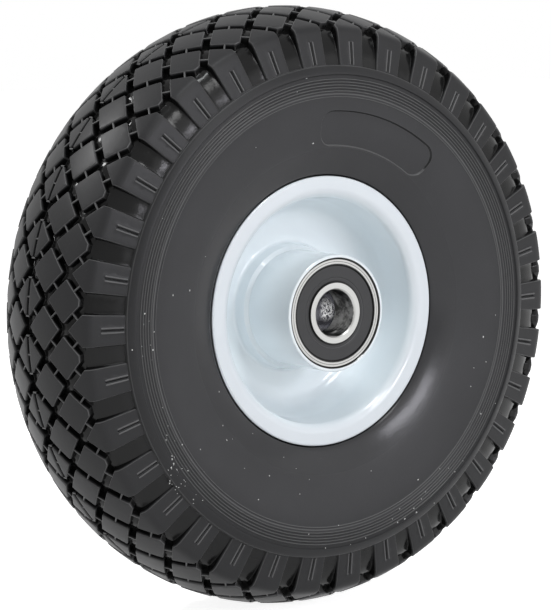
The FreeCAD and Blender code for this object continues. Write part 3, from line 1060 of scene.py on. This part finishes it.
def ring_steel():
    """Ground bearing steel: fine turned lines, painted shade in the gaps beside tube and seals and on a
    line round the ring's face, a bore painted near-black in smeared patches as shade, and a painted
    highlight spot in the bore.
    """
    paint = Paint("bearing_steel", (0.72, 0.72, 0.70), 0.25, 1.0)
    radius = paint.radius()
    lines = paint.noise(1.0, 5, 0.7, paint.turned_place())
    bright = paint.blend(lines, grey(0.25, 0.98), grey(0.55, 0.97))
    # Thin grey line painted round the outer ring's face: painted shade at the edge of its chamfer
    face_shade_line = paint.math("COMPARE", radius, *RING_FACE_SHADE_LINE)
    # Near-black rings with metal turned off in the gaps beside tube, seal and lip: painted shade
    tube_gap_mask = paint.span(radius, *TUBE_GAP_SHADE)
    seal_gap_mask = paint.math("COMPARE", radius, *SEAL_GAP_SHADE)
    lip_gap_mask = paint.math("COMPARE", radius, *LIP_GAP_SHADE)
    gap_shade_masks = paint.math("MAXIMUM", tube_gap_mask, paint.math("MAXIMUM", seal_gap_mask, lip_gap_mask))
    shade_lines = paint.math("MAXIMUM", paint.math("MULTIPLY", face_shade_line, 0.6), gap_shade_masks)
    # The bore is painted near-black in smeared patches: painted shade inside the hole
    bore = paint.span(radius, *BORE_EDGE, 1.0, 0.0)
    smear = paint.span(paint.noise(150, 4, 0.65), 0.4, 0.6, 0.1, 0.9)
    shaded_bore = paint.math("MULTIPLY", bore, paint.math("SUBTRACT", 1.0, smear))
    steel = paint.blend(shaded_bore, paint.blend(shade_lines, bright, grey(0.01)), grey(0.01))
    # A light grey spot with metal turned off on the bore: painted highlight
    bore_highlight_mask = paint.math("MULTIPLY", bore, paint.near(*BORE_HIGHLIGHT_SPOT))
    bore_highlight = paint.math("MULTIPLY", bore_highlight_mask, paint.span(paint.noise(250, 3), 0.35, 0.6))
    paint.feed("Base Color", paint.blend(bore_highlight, steel, grey(0.55, 0.95)))
    paint.feed("Metallic", paint.math("SUBTRACT", 1.0, paint.math("MAXIMUM", gap_shade_masks, bore_highlight)))
    paint.feed("Roughness", paint.math("MULTIPLY_ADD", lines, 0.25, 0.25))
    paint.bump(lines, 0.00003, 0.5)
    return paint.material


def seal_rubber():
    """Black rubber of the seals: satin, with a fine lighter ring beside the lip and shaded edges."""
    paint = Paint("seal_rubber", (0.04, 0.04, 0.042), 0.5)
    paint.set("Specular IOR Level", 0.3)
    radius = paint.radius()
    line = paint.math("COMPARE", radius, *SEAL_LINE)
    outer_edge = paint.span(radius, *SEAL_OUTER_EDGE)
    edges = paint.math("MAXIMUM", outer_edge, paint.span(radius, *SEAL_INNER_EDGE, 1.0, 0.0))
    cloud = paint.noise(160, 3)
    body = paint.blend(cloud, grey(0.028, 1.05), grey(0.042, 1.04))
    lined = paint.blend(paint.math("MULTIPLY", line, 0.5), body, grey(0.10))
    paint.feed("Base Color", paint.blend(edges, lined, grey(0.002)))
    paint.feed("Roughness", paint.math("MULTIPLY_ADD", cloud, 0.2, 0.4))
    paint.bump(paint.noise(1500, 3), 0.00003, 0.4)
    return paint.material


def plain_steel(name, level, roughness):
    """Steel of the hidden pieces: balls, cages and rivets."""
    paint = Paint(name, (level, level, level), roughness, 1.0)
    cloud = paint.noise(300, 3)
    paint.feed("Base Color", paint.blend(cloud, grey(level * 0.9), grey(level * 1.08)))
    paint.feed("Roughness", paint.math("MULTIPLY_ADD", cloud, roughness * 0.6, roughness * 0.7))
    paint.bump(paint.noise(2200, 2), 0.00001, 0.3)
    return paint.material


def dust_paint():
    """Dull white dust."""
    paint = Paint("white_dust", (0.75, 0.75, 0.73), 0.9)
    cloud = paint.noise(900, 3)
    paint.feed("Base Color", paint.blend(cloud, grey(0.55, 0.97), grey(0.95, 0.98)))
    paint.feed("Roughness", paint.math("MULTIPLY_ADD", cloud, 0.1, 0.85))
    paint.bump(paint.noise(3000, 2), 0.00002, 0.5)
    return paint.material


def sleeve_steel():
    """Drawn tube inside the bore: streaked along its length, with a part painted dark as shade and a
    speckled white painted highlight.
    """
    paint = Paint("drawn_tube", (0.40, 0.40, 0.41), 0.3, 1.0)
    streaks = paint.noise(1.0, 5, 0.7, paint.stretched((700, 60, 700)))
    speckle = paint.span(paint.noise(900, 4, 0.7), 0.42, 0.55)
    # A speckled white patch on the sleeve: painted highlight of lamp light in the bore
    sleeve_highlight = paint.math("MULTIPLY", paint.near(*SLEEVE_HIGHLIGHT_SPOT), speckle)
    steel = paint.blend(streaks, grey(0.75, 1.04), grey(0.95, 1.0))
    # The sleeve is painted darker round a spot: painted shade inside the bore
    shaded_bore = paint.blend(paint.near(*SLEEVE_SHADE_SPOT), steel, grey(0.08, 1.2))
    paint.feed("Base Color", paint.blend(sleeve_highlight, shaded_bore, grey(1.0)))
    paint.feed("Roughness", paint.math("MULTIPLY_ADD", streaks, 0.15, 0.08))
    rough = paint.math("MULTIPLY_ADD", paint.noise(900, 4, 0.7), 0.8, streaks)
    paint.bump(rough, 0.00005, 0.6)
    return paint.material


MATERIALS = {
    "tyre": tyre_paint(),
    "rim_paint": rim_paint(),
    "bearing_steel": ring_steel(),
    "seal_rubber": seal_rubber(),
    "ball_steel": plain_steel("polished_balls", 0.8, 0.08),
    "cage_steel": plain_steel("pressed_cage", 0.6, 0.3),
    "sleeve_steel": sleeve_steel(),
}


def dress(body, material):
    """Gives a mesh object one material."""
    body.data.materials.clear()
    body.data.materials.append(material)


def dress_nodes():
    """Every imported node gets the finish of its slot, and smooth shading with crisp corners."""
    for part in frame["record"]["subparts"]:
        node = frame["nodes"][part["node"]]
        dress(node, MATERIALS[part["material_slot"]])
        smooth(node.data)
        node.data.set_sharp_from_angle(angle=math.radians(35))


def build_rim():
    """Both pressed halves of the rim."""
    for name, side in (("rim_front", -1), ("rim_back", 1)):
        pressing = turned_mesh(name + "_pressing", rim_outline(), side)
        dress(pressing, MATERIALS["rim_paint"])
        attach(pressing, "wheel")
        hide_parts(name + "_half")


def add_dust():
    """Tiny white specks of dust that cling to the front sidewall, most of them low on the left."""
    chance = random.Random(17)
    shell = Shell()
    for first, last, inner, outer, count in DUST_FIELDS:
        for _ in range(count):
            angle = math.radians(chance.uniform(first, last))
            radius = chance.uniform(inner, outer)
            size = chance.uniform(*DUST_SIZES)
            add_speck(shell, chance, angle, radius, size)
    body = shell.build("dust_specks")
    dress(body, dust_paint())
    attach(body, "wheel")


def surface_y(radius):
    """Height of the sidewall, the rib or the flank of the lugs at a radius."""
    if radius < RIB_INNER:
        return wall_y(radius)
    if radius < RIB_OUTER:
        return rib_y((radius - RIB_INNER) / (RIB_OUTER - RIB_INNER))
    return sharp_skin(CREASE + flank_reach(radius)).y


def add_speck(shell, chance, angle, radius, size):
    """One flake: a flattened lump with a ragged edge."""
    centre = Vector(turn_round((radius, -min(surface_y(radius), DUST_TOP)), angle))
    outwards = Vector((math.cos(angle), 0, math.sin(angle)))
    round_way = Vector((-math.sin(angle), 0, math.cos(angle)))
    stretch = chance.uniform(*SPECK_STRETCH)
    points = [centre + Vector((0, -SPECK_RISE * size, 0))]
    for corner in range(SPECK_CORNERS):
        way = math.tau * corner / SPECK_CORNERS + chance.uniform(-SPECK_WOBBLE, SPECK_WOBBLE)
        reach = size * chance.uniform(*SPECK_REACH)
        edge = centre + outwards * reach * math.cos(way) + round_way * reach * stretch * math.sin(way)
        points.append(edge + Vector((0, SPECK_SINK * size, 0)))
    faces = [[0, corner, corner % SPECK_CORNERS + 1] for corner in range(1, SPECK_CORNERS + 1)]
    faces.append(list(range(SPECK_CORNERS, 0, -1)))
    shell.add([tuple(point) for point in points], faces, [0.0] * len(points))


dress_nodes()
build_rim()
tyre = build_tyre()
dress(tyre, MATERIALS["tyre"])
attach(tyre, "wheel")
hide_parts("tyre")
add_dust()


def add_camera():
    """Camera of the photograph; gives its own directions back, right and up."""
    data = bpy.data.cameras.new("camera")
    data.lens = CAMERA_LENS
    data.sensor_width = 36.0
    camera = linked("camera", data)
    back = Vector((
        math.sin(CAMERA_AZIMUTH) * math.cos(CAMERA_ELEVATION),
        -math.cos(CAMERA_AZIMUTH) * math.cos(CAMERA_ELEVATION),
        math.sin(CAMERA_ELEVATION),
    ))
    right = Vector((math.cos(CAMERA_AZIMUTH), math.sin(CAMERA_AZIMUTH), 0))
    up = back.cross(right)
    camera.location = back * CAMERA_DISTANCE + right * CAMERA_SHIFT[0] + up * CAMERA_SHIFT[1]
    camera.rotation_mode = "QUATERNION"
    camera.rotation_quaternion = (-back).to_track_quat("-Z", "Y")
    data.clip_start = 0.05
    data.clip_end = 50
    bpy.context.scene.camera = camera
    return back, right, up


BACK, RIGHT, UP = add_camera()
bpy.context.scene.view_settings.view_transform = "Standard"


def area_light(name, place, size, power, colour, roll):
    """Soft oblong lamp that looks at the wheel's middle, rolled about its own line of sight."""
    data = bpy.data.lights.new(name, "AREA")
    data.shape = "RECTANGLE"
    data.size, data.size_y = size
    data.energy = power
    data.color = colour
    lamp = linked(name, data)
    lamp.location = place
    lamp.rotation_mode = "QUATERNION"
    facing = (-Vector(place)).to_track_quat("-Z", "Y")
    lamp.rotation_quaternion = facing @ Quaternion((0, 0, 1), roll)


def from_camera(right, up, back):
    """Place given in metres along the camera's own directions from the wheel's middle."""
    return RIGHT * right + UP * up + BACK * back


def camera_share(nodes, links, seen, otherwise):
    """Strength for what the camera, mirrors and glass see, and another for plain light."""
    path = nodes.new("ShaderNodeLightPath")
    share = path.outputs["Is Camera Ray"]
    for ray in ("Is Glossy Ray", "Is Transmission Ray"):
        larger = nodes.new("ShaderNodeMath")
        larger.operation = "MAXIMUM"
        links.new(share, larger.inputs[0])
        links.new(path.outputs[ray], larger.inputs[1])
        share = larger.outputs[0]
    strength = nodes.new("ShaderNodeMath")
    strength.operation = "MULTIPLY_ADD"
    links.new(share, strength.inputs[0])
    strength.inputs[1].default_value = seen - otherwise
    strength.inputs[2].default_value = otherwise
    return strength.outputs[0]


def add_lights():
    """The studio's lamps and its white surroundings."""
    for name, place, size, power, colour, roll in LAMPS:
        area_light(name, from_camera(*place), size, power, colour, math.radians(roll))
    world = bpy.data.worlds.new("studio")
    bpy.context.scene.world = world
    world.use_nodes = True
    nodes, links = world.node_tree.nodes, world.node_tree.links
    background = nodes["Background"]
    background.inputs["Color"].default_value = (1, 1, 1, 1)
    links.new(camera_share(nodes, links, WORLD_SEEN, WORLD_LIGHT), background.inputs["Strength"])


add_lights()


def add_floor():
    """Plain pale floor that looks white where it is lit and keeps the wheel's shadow."""
    mesh = bpy.data.meshes.new("floor")
    corners = [(x * FLOOR_HALF, y * FLOOR_HALF, cad_low.z) for x, y in ((-1, -1), (1, -1), (1, 1), (-1, 1))]
    mesh.from_pydata(corners, [], [(0, 1, 2, 3)])
    floor = linked("floor", mesh)
    material = bpy.data.materials.new("floor")
    material.use_nodes = True
    nodes, links = material.node_tree.nodes, material.node_tree.links
    shader = nodes["Principled BSDF"]
    shader.inputs["Base Color"].default_value = (0.8, 0.8, 0.8, 1)
    shader.inputs["Roughness"].default_value = 0.9
    shader.inputs["Emission Color"].default_value = (1, 1, 1, 1)
    links.new(camera_share(nodes, links, FLOOR_SEEN, FLOOR_LIGHT), shader.inputs["Emission Strength"])
    mesh.materials.append(material)


add_floor()
